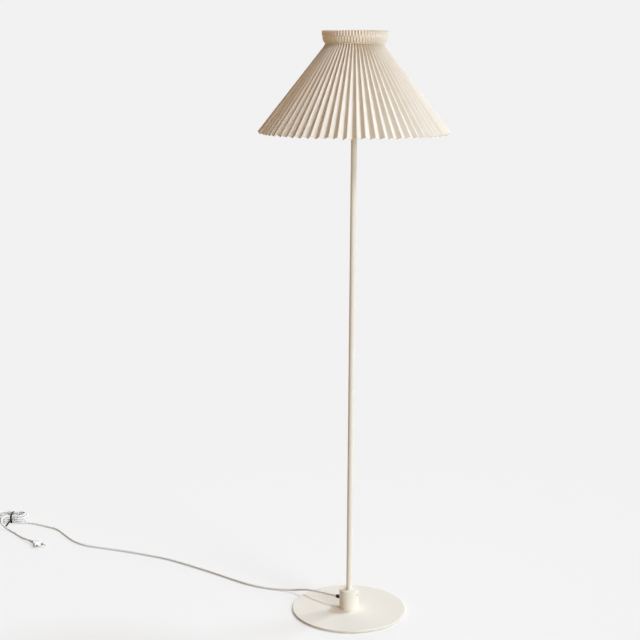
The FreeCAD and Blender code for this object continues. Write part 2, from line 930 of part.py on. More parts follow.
nodes = {
    "base_felt": cylinder(plate_radius - felt_inset, 0, felt_top),
    "base_plate": base_plate(),
    "hub": hub(),
    "hub_screws": hub_screws(),
    "set_screw": set_screw(),
    "pole": pole(),
    "cord_grip": cord_grip(),
    "live_wire": wire(1),
    "neutral_wire": wire(-1),
    "pole_cap": pole_cap(),
    "threaded_nipple": threaded_nipple(),
    "lock_nut": lock_nut(),
    "nipple_nut": nipple_nut(),
    "lampholder_cap": lampholder_cap(),
    "switch_bar": switch_bar(),
    "lampholder_skirt": lampholder_skirt(),
    "lampholder_insulator": lampholder_insulator(),
    "screw_shell": screw_shell(),
    "centre_contact": centre_contact(),
    "terminal_screws": terminal_screws(),
    "shade_ring_lower": shade_ring(lower_ring_bottom),
    "shade_ring_upper": shade_ring(upper_ring_bottom),
    "carrier_plate": carrier_plate(),
    "carrier_arms": carrier_arms(),
    "neck_ring": neck_ring(),
    "pleated_shade": pleated_shade(),
    "bulb_glass": bulb_glass(),
    "bulb_cap": bulb_cap(),
    "bulb_insulator": bulb_insulator(),
    "bulb_foot": bulb_foot(),
    "cord_run": cord_tube("cord run", cord_run_route),
    "cord_hank": cord_hank(),
    "cord_tail": cord_tube("cord tail", cord_tail_route),
    "hank_tie": hank_tie(),
    "plug_body": plug_body(),
    "plug_pins": plug_pins(),
    "pin_sleeves": pin_sleeves(),
}

os.makedirs("parts", exist_ok=True)
for name, shape in nodes.items():
    shape.exportStep(f"parts/{name}.step")
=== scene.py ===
"""Looks of the pleated shade floor lamp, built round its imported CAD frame.

Lengths are in metres, +Z is up and the front is towards -Y.
"""
import math
import random

import bpy
from mathutils import Matrix, Vector


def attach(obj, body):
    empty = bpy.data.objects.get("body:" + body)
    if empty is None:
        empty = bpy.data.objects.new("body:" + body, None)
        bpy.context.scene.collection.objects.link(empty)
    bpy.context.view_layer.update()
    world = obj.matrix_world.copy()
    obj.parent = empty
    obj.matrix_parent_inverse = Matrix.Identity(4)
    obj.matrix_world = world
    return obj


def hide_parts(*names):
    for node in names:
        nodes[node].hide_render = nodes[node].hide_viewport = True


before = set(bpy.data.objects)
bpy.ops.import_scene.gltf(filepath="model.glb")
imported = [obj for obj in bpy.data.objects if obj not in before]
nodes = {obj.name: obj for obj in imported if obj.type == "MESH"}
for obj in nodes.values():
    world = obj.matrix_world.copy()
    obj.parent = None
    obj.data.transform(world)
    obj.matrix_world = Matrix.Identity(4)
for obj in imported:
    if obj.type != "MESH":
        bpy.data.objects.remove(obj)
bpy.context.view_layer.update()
scene = bpy.context.scene
scene.view_settings.view_transform = "Standard"
RIGHT = Vector((1, 0, 0))
BACK = Vector((0, 1, 0))
UP = Vector((0, 0, 1))

# Camera, fitted to the photograph
CAMERA_PLACE = Vector((-0.07652, -3.0759, 1.3610))
CAMERA_PITCH = math.radians(11.44)
CAMERA_ROLL = math.radians(0.337)
CAMERA_LENS = 73.82
CAMERA_SENSOR = 36.0

# Cord: listed points of its run and its tail
CORD_RADIUS = 0.00275
CORD_LENGTH = 2.42
CORD_ORDER = 3
CORD_STEPS = 6
CORD_ROUNDNESS = 5
CORD_RUN = [
    (-0.00988, 0.00548, 0.0285),
    (-0.05073, 0.02812, 0.0285),
    (-0.082, 0.056, 0.0245),
    (-0.112, 0.084, 0.017),
    (-0.143, 0.105, 0.006),
    (-0.181, 0.117, 0.003),
    (-0.222, 0.129, 0.003),
    (-0.263, 0.150, 0.003),
    (-0.311, 0.188, 0.003),
    (-0.366, 0.232, 0.003),
    (-0.426, 0.276, 0.003),
    (-0.491, 0.322, 0.003),
    (-0.556, 0.352, 0.003),
    (-0.624, 0.380, 0.003),
    (-0.690, 0.402, 0.003),
    (-0.738, 0.419, 0.003),
    (-0.774, 0.451, 0.003),
    (-0.804, 0.495, 0.003),
    (-0.834, 0.543, 0.003),
    (-0.874, 0.568, 0.003),
    (-0.914, 0.5885, 0.0036),
    (-0.940, 0.5935, 0.0043),
    (-0.9575, 0.5935, 0.0043),
]
CORD_TAIL = [
    (-0.975, 0.5993, 0.0223),
    (-0.993, 0.5993, 0.0223),
    (-1.007, 0.5855, 0.0223),
    (-1.0055, 0.563, 0.0145),
    (-0.9855, 0.5435, 0.0055),
    (-0.968, 0.5275, 0.003),
    (-0.954, 0.512, 0.003),
    (-0.934, 0.486, 0.003),
    (-0.917, 0.465, 0.0046),
    (-0.90239, 0.44939, 0.0071),
    (-0.888, 0.4355, 0.0071),
]

# Hank: nested runs that climb a layer after every third one, each ending in a loop, its lobe
HANK_CENTRE = (-0.983, 0.616)
HANK_REACH = 0.020
HANK_WAIST = 0.0165
HANK_DRAW = 0.006
HANK_STEP = 0.008
# How many steps deep the runs nest, and after how many runs that repeats
HANK_NEST = 2
HANK_CYCLE = 6
HANK_LAYER = 0.006
HANK_LAYER_RUNS = 3
HANK_RUNS = 10
HANK_Z = 0.0043
HANK_LAST_SIDE = 0.0167
RUN_SHARES = (-0.5, 0.0, 0.5)
LOBE_DEGREES = (0, 36, 72, 108, 144, 180)
LOBE_GROW = 1.05
LOBE_REACH = (0.0244, 0.0178, 0.0178, 0.0212, 0.0250, 0.0240, 0.0238, 0.0172, 0.0190, 0.0186)
LOBE_LIFT = (0.0, 0.0, 0.0, 0.0, 0.0, 0.0, 0.002, 0.0, 0.0045, 0.001)

# Tie round the hank: a loop, two loose ends and a knot
TIE_WIDTH = 0.0048
TIE_THICKNESS = 0.0009
TIE_GAP = 0.00025
# Cross-section in shares of the width and the thickness
TIE_SECTION = (
    (-0.5, -0.3), (-0.5, 0.3), (-0.4, 0.5), (0.4, 0.5),
    (0.5, 0.3), (0.5, -0.3), (0.4, -0.5), (-0.4, -0.5),
)
TIE_STEPS = 72
# Each loose end as (drop, length, lean, start height)
TIE_ENDS = ((0.0105, 0.028, -0.010, 0.0125), (0.0045, 0.013, 0.005, 0.0150))
TIE_END_GAP = 0.0006
TIE_END_ARCH = 0.003
TIE_END_STEPS = 12
KNOT_TURNS = 2
KNOT_STEPS = 24
KNOT_RADIUS = 0.0016
KNOT_DEPTH = 0.0003
KNOT_OUT = 0.0014
KNOT_Z = 0.0112
KNOT_RISE = 0.0052

# Plug: the end of its cord, the way it points and the ribbed sleeve over its relief
PLUG_ENTRY = Vector((-0.888, 0.4355, 0.0071))
PLUG_ANGLE = math.radians(-44.0)
RELIEF_LENGTH = 0.0235
RELIEF_LEAD = 0.0090
RELIEF_ROOT = 0.0049
RELIEF_TIP = 0.0033
RELIEF_GAP = 0.0001
RELIEF_RIBS = 8
# Outline of one rib as (share of its length, share of the groove's depth)
RELIEF_RIB = ((0.0, 1.0), (0.12, 0.0), (0.58, 0.0), (0.70, 1.0))
RELIEF_GROOVE = 0.0005
RELIEF_SIDES = 28

# Shade: (radius, height) of the ridges and then of the valleys, ring by ring from rim to top
PLEATS = 68
FOLDS = 2 * PLEATS
SHEET = 0.00045
RIM = ((0.2247, 1.1858), (0.2179, 1.1806))
NECK = ((0.0698, 1.3840), (0.0585, 1.3840))
TUCK = ((0.0675, 1.3897), (0.0725, 1.3897))
FLIP = ((0.0726, 1.3990), (0.0754, 1.3990))
RETURN = ((0.0762, 1.4042), (0.0734, 1.4042))
COLLAR = ((0.0767, 1.4150), (0.0700, 1.4150))
COLLAR_RINGS = (NECK, TUCK, FLIP, RETURN, COLLAR)
CONE_ROWS = 13
COLLAR_ROWS = 2
FOLD_BEVEL = 0.00045
FOLD_BEVEL_STEPS = 2
FOLD_ROUND_RIM = 0.0016
FOLD_ROUND_NECK = 0.0036
FOLD_STEPS = 4
NECK_MARGIN = 0.015

# How far the folds stray: everywhere, and on top of that at the rim
STRAY_SEED = 11
STRAY_OUT = (0.0002, 0.0007)
STRAY_TURN = (0.00035, 0.0022)
STRAY_COLLAR = 1.6
STRAY_RIM = 0.0006

# Values that noise takes over most of a surface
NOISE_LOW = 0.3
NOISE_HIGH = 0.7

# Felt and opal glass
FELT_DARK = (0.012, 0.012, 0.012)
FELT_LIGHT = (0.05, 0.05, 0.048)
FELT_FIBRE = 1400.0
FELT_BUMP = 0.0004
OPAL_DARK = (0.86, 0.85, 0.81)
OPAL_LIGHT = (0.90, 0.89, 0.86)
OPAL_CLOUD = 80.0
OPAL_GLOSS = (0.16, 0.24)
OPAL_GLOSS_SCALE = 500.0
OPAL_WAVE = 120.0
OPAL_BUMP = 0.00003

# Pleated sheet and braided textile
SHEET_DARK = (0.935, 0.872, 0.752)
SHEET_LIGHT = (0.965, 0.915, 0.808)
SHEET_THROUGH = (0.95, 0.72, 0.41)
SHEET_SHARE = 0.24
SHEET_MOTTLE = 45.0
SHEET_FIBRE = 700.0
SHEET_GRAIN = (1.0, 1.0, 0.25)
SHEET_GLOSS = (0.55, 0.72)
SHEET_BUMP = 0.000008
TEXTILE_DARK = (0.87, 0.85, 0.80)
TEXTILE_LIGHT = (0.95, 0.925, 0.875)
TEXTILE_BUMP = 0.00012
BRAID_THREADS = 8.0
BRAID_SPECK = 900.0
BRAID_SPECK_SHARE = 0.8

# Plain finishes: colour, roughness, scale of patches, scale of grain, bump, spread of tone, others
PLAIN = {
    "cream_paint": (
        (0.90, 0.82, 0.68), 0.42, 9.0, 1100.0, 0.00003, 0.018,
        {"Coat Weight": 0.12, "Coat Roughness": 0.3},
    ),
    "carrier_paint": ((0.80, 0.79, 0.76), 0.4, 40.0, 1500.0, 0.00003, 0.04, {}),
    "holder_plastic": ((0.78, 0.77, 0.73), 0.32, 60.0, 1800.0, 0.00002, 0.04, {}),
    "plug_plastic": ((0.90, 0.87, 0.80), 0.35, 70.0, 1600.0, 0.00003, 0.04, {}),
    "porcelain": ((0.76, 0.74, 0.69), 0.2, 50.0, 700.0, 0.00003, 0.04, {"Coat Weight": 0.5}),
    "grip_plastic": ((0.012, 0.012, 0.012), 0.45, 90.0, 2200.0, 0.00004, 0.2, {}),
    "pin_plastic": ((0.10, 0.10, 0.10), 0.5, 90.0, 2000.0, 0.00003, 0.12, {}),
    "relief_plastic": ((0.55, 0.55, 0.54), 0.5, 90.0, 2000.0, 0.00003, 0.06, {}),
    "tie_plastic": (
        (0.008, 0.008, 0.008), 0.7, 90.0, 2200.0, 0.00003, 0.2,
        {"Specular IOR Level": 0.15},
    ),
    "bulb_black": ((0.02, 0.02, 0.025), 0.12, 90.0, 600.0, 0.00002, 0.2, {}),
    "live_insulation": ((0.16, 0.065, 0.03), 0.35, 150.0, 2500.0, 0.00002, 0.08, {}),
    "neutral_insulation": ((0.03, 0.10, 0.40), 0.35, 150.0, 2500.0, 0.00002, 0.08, {}),
}
PLAIN_GLOSS = (0.85, 1.2)
PLAIN_GLOSS_SCALE = 6

# Metals: colour, roughness and how far the drawn lines are stretched along each axis
METALS = {
    "steel": ((0.60, 0.60, 0.58), 0.32, (1.0, 1.0, 0.08)),
    "brass": ((0.72, 0.52, 0.24), 0.24, (1.0, 1.0, 0.1)),
    "bulb_metal": ((0.76, 0.76, 0.75), 0.26, (0.1, 0.1, 1.0)),
    "pin_metal": ((0.70, 0.69, 0.66), 0.2, (0.3, 0.3, 1.0)),
}
METAL_LINES = 900.0
METAL_STAIN = 60.0
METAL_TONE = (0.88, 1.06)
METAL_GLOSS = (0.7, 1.5)
METAL_BUMP = 0.00002

# CAD nodes that wear each finish
WORN_BY = {
    "cream_paint": ["base_plate", "hub", "pole", "pole_cap"],
    "carrier_paint": ["carrier_plate", "carrier_arms", "neck_ring"],
    "holder_plastic": [
        "lampholder_cap", "lampholder_skirt", "shade_ring_lower", "shade_ring_upper", "switch_bar",
    ],
    "plug_plastic": ["plug_body"],
    "porcelain": ["lampholder_insulator"],
    "grip_plastic": ["cord_grip"],
    "pin_plastic": ["pin_sleeves"],
    "bulb_black": ["bulb_insulator"],
    "live_insulation": ["live_wire"],
    "neutral_insulation": ["neutral_wire"],
    "steel": ["hub_screws", "set_screw", "threaded_nipple", "lock_nut", "nipple_nut"],
    "brass": ["screw_shell", "centre_contact", "terminal_screws", "bulb_foot"],
    "bulb_metal": ["bulb_cap"],
    "pin_metal": ["plug_pins"],
    "felt": ["base_felt"],
    "opal_glass": ["bulb_glass"],
}

# Floor and backdrop: the floor shows the shadow near the lamp and fades to the backdrop
BACKDROP = (0.885, 0.885, 0.885)
FLOOR_SIZE = 40.0
FLOOR_SHADOW = 0.8
FLOOR_NEAR = 0.3
FLOOR_FAR = 1.5
FLOOR_LIT = (0.945, 0.902, 0.812)
FLOOR_GLOW = (0.085, 0.08, 0.085)
FLOOR_BOUNCE = (0.57, 0.475, 0.345)

# Soft light from all round, brightest from one way
FILL_WAY = Vector((0.72, -0.52, 0.46))
FILL_SPAN = (-0.6, 1.0)
FILL_STOPS = (
    (0.0, (0.16, 0.125, 0.085)),
    (0.5, (0.17, 0.068, 0.004)),
    (1.0, (0.45, 0.43, 0.43)),
)

# Lamps: degrees round from the front and up from level, power, colour, seen in gloss
KEYS = (
    (45.0, 4.0, 1.15, (0.80, 1.03, 1.32), False),
    (42.0, 30.0, 1.13, (0.97, 1.06, 1.15), False),
    (125.0, 56.0, 1.74, (0.78, 0.98, 1.24), True),
    (188.0, 8.0, 1.2, (1.0, 0.88, 0.74), False),
)
KEY_SPREAD = math.radians(18.0)


def link(obj):
    scene.collection.objects.link(obj)
    return obj


def mesh_object(name, vertices, faces):
    mesh = bpy.data.meshes.new(name)
    mesh.from_pydata(vertices, [], faces)
    mesh.update()
    return link(bpy.data.objects.new(name, mesh))


def add_camera():
    """Camera of the photograph: level from side to side but for a slight roll, and pitched down."""
    data = bpy.data.cameras.new("camera")
    data.lens = CAMERA_LENS
    data.sensor_width = CAMERA_SENSOR
    camera = link(bpy.data.objects.new("camera", data))
    forward = Vector((0, math.cos(CAMERA_PITCH), -math.sin(CAMERA_PITCH)))
    up = RIGHT.cross(forward)
    tilted_right = RIGHT * math.cos(CAMERA_ROLL) + up * math.sin(CAMERA_ROLL)
    tilted_up = up * math.cos(CAMERA_ROLL) - RIGHT * math.sin(CAMERA_ROLL)
    turn = Matrix((tilted_right, tilted_up, -forward)).transposed()
    camera.matrix_world = Matrix.Translation(CAMERA_PLACE) @ turn.to_4x4()
    scene.camera = camera


def run_way(run):
    """1 for a run towards the left end of the hank, -1 for a run towards the right."""
    return 1 if run % 2 == 0 else -1


def run_side(run):
    """Signed distance of a run's ends from the hank's middle, positive towards the front."""
    if run == HANK_RUNS:
        return HANK_LAST_SIDE
    nest = HANK_NEST - abs(HANK_NEST - run % HANK_CYCLE)
    return run_way(run) * (HANK_WAIST - nest * HANK_STEP / 2 + HANK_DRAW)


def run_heights(run):
    """Heights at which a run starts and ends."""
    start = HANK_Z + HANK_LAYER * (run // HANK_LAYER_RUNS)
    end = HANK_Z + HANK_LAYER * ((run + 1) // HANK_LAYER_RUNS)
    return start, end


def hank_points():
    """Control points of the hank: runs drawn in at the waist, and loose loops round both ends."""
    points = []
    for run in range(HANK_RUNS):
        way = run_way(run)
        side = run_side(run)
        low, high = run_heights(run)
        for share in RUN_SHARES:
            draw = way * HANK_DRAW * (1 + math.cos(math.pi * share)) / 2
            done = (share + 1) / 2
            rise = (3 - 2 * done) * done ** 2
            x = HANK_CENTRE[0] - way * HANK_REACH * share
            points.append((x, HANK_CENTRE[1] - side + draw, low + (high - low) * rise))
        following = run_side(run + 1)
        radius = abs(side - following) / 2 * LOBE_GROW
        middle = (side + following) / 2
        for degrees in LOBE_DEGREES:
            angle = math.radians(degrees)
            x = HANK_CENTRE[0] - way * (HANK_REACH + LOBE_REACH[run] * math.sin(angle))
            y = HANK_CENTRE[1] - middle - way * radius * math.cos(angle)
            points.append((x, y, high + LOBE_LIFT[run] * math.sin(angle) ** 2))
    return points


def add_cord():
    """Cord from the grip to the plug as one spline."""
    points = CORD_RUN + hank_points() + CORD_TAIL
    curve = bpy.data.curves.new("cord", "CURVE")
    curve.dimensions = "3D"
    curve.bevel_depth = 1.0
    curve.bevel_resolution = CORD_ROUNDNESS
    curve.use_fill_caps = True
    spline = curve.splines.new("NURBS")
    spline.points.add(len(points) - 1)
    for point, place in zip(spline.points, points):
        point.co = (*place, 1.0)
        point.radius = CORD_RADIUS
    spline.order_u = CORD_ORDER
    spline.use_endpoint_u = True
    spline.resolution_u = CORD_STEPS
    cord = link(bpy.data.objects.new("cord", curve))
    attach(cord, "stand")
    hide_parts("cord_run", "cord_hank", "cord_tail")
    return cord


def add_band(vertices, faces, path, side, closed=False):
    """Add a flat band along a path, with a rounded cross-section across the side direction."""
    base = len(vertices)
    count = len(path)
    size = len(TIE_SECTION)
    for i, place in enumerate(path):
        before = path[i - 1] if closed or i > 0 else path[0]
        after = path[(i + 1) % count] if closed or i < count - 1 else path[-1]
        along = (after - before).normalized()
        normal = along.cross(side).normalized()
        across = normal.cross(along)
        for u, v in TIE_SECTION:
            vertices.append(place + across * (u * TIE_WIDTH) + normal * (v * TIE_THICKNESS))
    for i in range(count if closed else count - 1):
        here = base + i * size
        there = base + (i + 1) % count * size
        for j in range(size):
            k = (j + 1) % size
            faces.append((here + j, here + k, there + k, there + j))
    if not closed:
        last = base + (count - 1) * size
        faces.append(tuple(range(base, base + size))[::-1])
        faces.append(tuple(range(last, last + size)))


def waist_strands():
    """Where the cord's strands cross the tie, as (distance from the middle, height)."""
    top = HANK_Z + HANK_LAYER * (HANK_RUNS // HANK_LAYER_RUNS)
    strands = [(HANK_LAST_SIDE, top)]
    for run in range(HANK_RUNS):
        strands.append((run_side(run) - run_way(run) * HANK_DRAW, sum(run_heights(run)) / 2))
    return strands


def add_tie():
    """Flat tie drawn round the strands, twisted at the front, with two loose ends."""
    strands = waist_strands()
    reach = CORD_RADIUS + TIE_GAP + TIE_THICKNESS / 2
    middle_x, middle_y = HANK_CENTRE
    loop = []
    for step in range(TIE_STEPS):
        angle = 2 * math.pi * step / TIE_STEPS
        out, up = math.cos(angle), math.sin(angle)
        side, height = max(strands, key=lambda strand: strand[0] * out + strand[1] * up)
        loop.append(Vector((middle_x, middle_y - side - reach * out, height + reach * up)))
    vertices, faces = [], []
    add_band(vertices, faces, loop, RIGHT, closed=True)
    front = min(place.y for place in loop)
    for drop, length, lean, start in TIE_ENDS:
        end = []
        for step in range(TIE_END_STEPS + 1):
            t = step / TIE_END_STEPS
            height = start + TIE_END_ARCH * math.sin(math.pi * t) - drop * t
            end.append(Vector((middle_x + lean * t * t, front - TIE_END_GAP - length * t, height)))
        add_band(vertices, faces, end, RIGHT)
    knot = []
    for step in range(KNOT_STEPS + 1):
        t = step / KNOT_STEPS
        angle = 2 * math.pi * KNOT_TURNS * t
        knot.append(Vector((
            middle_x + KNOT_RADIUS * math.cos(angle),
            front - KNOT_OUT - KNOT_DEPTH * math.sin(angle),
            KNOT_Z + KNOT_RISE * t,
        )))
    add_band(vertices, faces, knot, BACK)
    tie = mesh_object("cord_tie", vertices, faces)
    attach(tie, "stand")
    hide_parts("hank_tie")
    return tie


def add_plug_relief():
    """Ribbed sleeve where the cord enters the plug."""
    profile = [(0.0, CORD_RADIUS + RELIEF_GAP)]
    for rib in range(RELIEF_RIBS):
        for share, depth in RELIEF_RIB:
            t = (rib + share) / RELIEF_RIBS
            radius = RELIEF_TIP + (RELIEF_ROOT - RELIEF_TIP) * t - RELIEF_GROOVE * depth
            profile.append((t * RELIEF_LENGTH, radius))
    profile.append((RELIEF_LENGTH, RELIEF_ROOT))
    along = Vector((math.cos(PLUG_ANGLE), math.sin(PLUG_ANGLE), 0))
    across = Vector((-along.y, along.x, 0))
    start = PLUG_ENTRY - along * RELIEF_LEAD
    vertices = []
    for distance, radius in profile:
        for i in range(RELIEF_SIDES):
            angle = 2 * math.pi * i / RELIEF_SIDES
            outward = across * math.cos(angle) + UP * math.sin(angle)
            vertices.append(start + along * distance + outward * radius)
    faces = []
    for low in range(0, (len(profile) - 1) * RELIEF_SIDES, RELIEF_SIDES):
        high = low + RELIEF_SIDES
        for i in range(RELIEF_SIDES):
            j = (i + 1) % RELIEF_SIDES
            faces.append((low + i, low + j, high + j, high + i))
    relief = mesh_object("plug_relief", vertices, faces)
    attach(relief, "stand")
    return relief


def cone_shares():
    """How far up the cone each of its rows lies, from 0 at the rim to just under 1 at the neck."""
    return [(1 - NECK_MARGIN) * i / (CONE_ROWS - 1) for i in range(CONE_ROWS)]


def row_between(lower, upper, share):
    """Ridge and valley of a row between two rings, each as (radius, height)."""
    return [
        [low + (high - low) * share for low, high in zip(*fold)]
        for fold in zip(lower, upper)
    ]


def shade_rows():
    """Rows of the shade from rim to top."""
    rows = [row_between(RIM, NECK, share) for share in cone_shares()]
    for lower, upper in zip(COLLAR_RINGS, COLLAR_RINGS[1:]):
        rows += [row_between(lower, upper, i / COLLAR_ROWS) for i in range(COLLAR_ROWS)]
    rows.append(COLLAR)
    return rows


def fold_places():
    """Where each fold crosses each row: the folds stray a little, most of all at the rim."""
    draw = random.Random(STRAY_SEED)
    shares = cone_shares()
    turn_stray = [draw.gauss(0, 1) for _ in range(FOLDS)]
    out_stray = [draw.gauss(0, 1) for _ in range(FOLDS)]
    rim_stray = [draw.gauss(0, 1) for _ in range(FOLDS)]
    places = []
    for r, (ridge, valley) in enumerate(shade_rows()):
        down = 1 - shares[r] if r < CONE_ROWS else 0.0
        loose = 1 if r <= CONE_ROWS else STRAY_COLLAR
        row = []
        for k in range(FOLDS):
            radius, height = ridge if k % 2 == 0 else valley
            angle = math.pi * k / PLEATS
            radius += out_stray[k] * (STRAY_OUT[0] + STRAY_OUT[1] * down)
            angle += turn_stray[k] * (STRAY_TURN[0] + STRAY_TURN[1] * down) * loose
            height += rim_stray[k] * STRAY_RIM * down
            row.append(Vector((radius * math.cos(angle), radius * math.sin(angle), height)))
        places.append(row)
    return places


def rounded_fold(before, fold, after, size):
    """Points of a fold that bends in a small arc, from the panel before it to the panel after."""
    first = fold + (before - fold).normalized() * size
    last = fold + (after - fold).normalized() * size
    points = []
    for step in range(FOLD_STEPS + 1):
        t = step / FOLD_STEPS
        points.append(first * (1 - t) ** 2 + fold * 2 * t * (1 - t) + last * t ** 2)
    return points


def shade_mesh():
    """Vertices and faces of the sheet, and the index of the first vertex at the neck."""
    places = fold_places()
    width = FOLD_STEPS + 1
    across = FOLDS * width
    vertices = []
    for share, row in zip(cone_shares(), places):
        size = FOLD_ROUND_RIM + (FOLD_ROUND_NECK - FOLD_ROUND_RIM) * share
        for k in range(FOLDS):
            vertices += rounded_fold(row[k - 1], row[k], row[(k + 1) % FOLDS], size)
    neck = len(vertices)
    for row in places[CONE_ROWS:]:
        vertices += row
    faces = []
    for low in range(0, (CONE_ROWS - 1) * across, across):
        high = low + across
        for c in range(across):
            d = (c + 1) % across
            faces.append((low + c, low + d, high + d, high + c))
    last = (CONE_ROWS - 1) * across
    for k in range(FOLDS):
        j = (k + 1) % FOLDS
        start = last + k * width
        for step in range(FOLD_STEPS):
            faces.append((start + step, start + step + 1, neck + k))
        faces.append((start + FOLD_STEPS, last + j * width, neck + j, neck + k))
    for low in range(neck, len(vertices) - FOLDS, FOLDS):
        high = low + FOLDS
        for k in range(FOLDS):
            j = (k + 1) % FOLDS
            if k % 2 == 0:
                faces += [(low + k, low + j, high + j), (low + k, high + j, high + k)]
            else:
                faces += [(low + k, low + j, high + k), (low + j, high + j, high + k)]
    return vertices, faces, neck


def add_shade():
    """Hand-folded pleated sheet: rounded folds down the cone, cross folds round the collar."""
    vertices, faces, neck = shade_mesh()
    shade = mesh_object("shade", vertices, faces)
    weights = shade.data.attributes.new("bevel_weight_edge", "FLOAT", "EDGE")
    for edge, weight in zip(shade.data.edges, weights.data):
        weight.value = 1.0 if min(edge.vertices) >= neck else 0.0
    thick = shade.modifiers.new("thickness", "SOLIDIFY")
    thick.thickness = SHEET
    thick.offset = -1
    thick.use_even_offset = True
    round_folds = shade.modifiers.new("folds", "BEVEL")
    round_folds.width = FOLD_BEVEL
    round_folds.segments = FOLD_BEVEL_STEPS
    round_folds.limit_method = "WEIGHT"
    round_folds.use_clamp_overlap = True
    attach(shade, "shade")
    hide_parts("pleated_shade")
    return shade


class Tree:
    """Node tree of a material or the world, with short ways to add the nodes that they share."""

    def __init__(self, owner):
        owner.use_nodes = True
        self.nodes = owner.node_tree.nodes
        self.links = owner.node_tree.links

    def add(self, kind, **settings):
        node = self.nodes.new(kind)
        for key, value in settings.items():
            setattr(node, key, value)
        return node

    def join(self, source, target):
        self.links.new(source, target)

    def feed(self, socket, value):
        """Set a socket to a number, or join another socket to it."""
        if isinstance(value, (int, float)):
            socket.default_value = value
        else:
            self.join(value, socket)

    def sums(self, operation, first, second):
        node = self.add("ShaderNodeMath", operation=operation)
        self.feed(node.inputs[0], first)
        self.feed(node.inputs[1], second)
        return node.outputs["Value"]

    def span(self, source, low, high, start=NOISE_LOW, end=NOISE_HIGH):
        node = self.add("ShaderNodeMapRange")
        node.inputs["From Min"].default_value = start
        node.inputs["From Max"].default_value = end
        node.inputs["To Min"].default_value = low
        node.inputs["To Max"].default_value = high
        self.join(source, node.inputs["Value"])
        return node.outputs["Result"]

    def ramp(self, source, *stops):
        """Colour that goes through (position, colour) stops."""
        node = self.add("ShaderNodeValToRGB")
        elements = node.color_ramp.elements
        for element, (position, colour) in zip((elements[0], elements[1]), (stops[0], stops[-1])):
            element.position = position
            element.color = (*colour, 1)
        for position, colour in stops[1:-1]:
            elements.new(position).color = (*colour, 1)
        self.join(source, node.inputs["Fac"])
        return node.outputs["Color"]

    def shader(self, kind, colour):
        """Output of a one-colour shader."""
        node = self.add(kind)
        node.inputs["Color"].default_value = (*colour, 1)
        return node.outputs[0]

    def mix(self, share, first, second):
        node = self.add("ShaderNodeMixShader")
        self.feed(node.inputs["Fac"], share)
        self.join(first, node.inputs[1])
        self.join(second, node.inputs[2])
        return node.outputs["Shader"]

    def seen_ray(self):
        """1 for rays from the camera, mirrors and glass, else 0."""
        path = self.add("ShaderNodeLightPath").outputs
        seen = self.sums("MAXIMUM", path["Is Camera Ray"], path["Is Glossy Ray"])
        return self.sums("MAXIMUM", seen, path["Is Transmission Ray"])


class Finish(Tree):
    """Material with a main shader, laid out in the object's own space."""

    def __init__(self, name):
        self.material = bpy.data.materials.new(name)
        super().__init__(self.material)
        self.main = self.nodes["Principled BSDF"]
        self.surface = self.nodes["Material Output"].inputs["Surface"]
        self.place = self.add("ShaderNodeTexCoord").outputs["Object"]

    def set(self, values):
        for name, value in values.items():
            self.main.inputs[name].default_value = value

    def paint(self, source, dark, light, start=NOISE_LOW, end=NOISE_HIGH):
        """Base colour between two tones."""
        self.join(self.ramp(source, (start, dark), (end, light)), self.main.inputs["Base Color"])

    def gloss(self, source, low, high):
        self.join(self.span(source, low, high), self.main.inputs["Roughness"])

    def noise(self, scale, detail, stretch=None):
        node = self.add("ShaderNodeTexNoise")
        node.inputs["Scale"].default_value = scale
        node.inputs["Detail"].default_value = detail
        place = self.place
        if stretch:
            mapping = self.add("ShaderNodeMapping")
            mapping.inputs["Scale"].default_value = stretch
            self.join(place, mapping.inputs["Vector"])
            place = mapping.outputs["Vector"]
        self.join(place, node.inputs["Vector"])
        return node.outputs["Fac"]

    def bump(self, height, distance):
        node = self.add("ShaderNodeBump")
        node.inputs["Distance"].default_value = distance
        self.join(height, node.inputs["Height"])
        self.join(node.outputs["Normal"], self.main.inputs["Normal"])
        return node.outputs["Normal"]


def shaded(colour, share):
    return tuple(min(1.0, c * share) for c in colour)


def plain_finish(name, colour, roughness, patch, grain, bump, spread, others):
    """Moulded or painted surface: soft patches of tone, uneven gloss and a fine grain."""
    finish = Finish(name)
    tone = finish.noise(patch, detail=4.0)
    finish.paint(tone, shaded(colour, 1 - spread), shaded(colour, 1 + spread))
    sheen = finish.noise(patch * PLAIN_GLOSS_SCALE, detail=3.0)
    finish.gloss(sheen, *(roughness * share for share in PLAIN_GLOSS))
    finish.bump(finish.noise(grain, detail=2.0), bump)
    finish.set(others)
    return finish.material


def metal_finish(name, colour, roughness, stretch):
    """Metal with fine drawn lines along one direction and a slight stain."""
    finish = Finish(name)
    lines = finish.noise(METAL_LINES, detail=3.0, stretch=stretch)
    stain = finish.noise(METAL_STAIN, detail=4.0)
    finish.paint(stain, *(shaded(colour, share) for share in METAL_TONE))
    finish.gloss(lines, *(roughness * share for share in METAL_GLOSS))
    finish.bump(lines, METAL_BUMP)
    finish.set({"Metallic": 1.0})
    return finish.material


def felt_finish():
    """Dark, fibrous and matt."""
    finish = Finish("felt")
    fibre = finish.noise(FELT_FIBRE, detail=6.0)
    finish.paint(fibre, FELT_DARK, FELT_LIGHT)
    finish.bump(fibre, FELT_BUMP)
    finish.set({"Roughness": 0.95, "Sheen Weight": 0.3})
    return finish.material


def opal_finish():
    """White glass, faintly clouded, under a clear gloss."""
    finish = Finish("opal_glass")
    finish.paint(finish.noise(OPAL_CLOUD, detail=3.0), OPAL_DARK, OPAL_LIGHT)
    finish.gloss(finish.noise(OPAL_GLOSS_SCALE, detail=2.0), *OPAL_GLOSS)
    finish.bump(finish.noise(OPAL_WAVE, detail=1.0), OPAL_BUMP)
    finish.set({"Coat Weight": 0.4, "Coat Roughness": 0.08})
    return finish.material


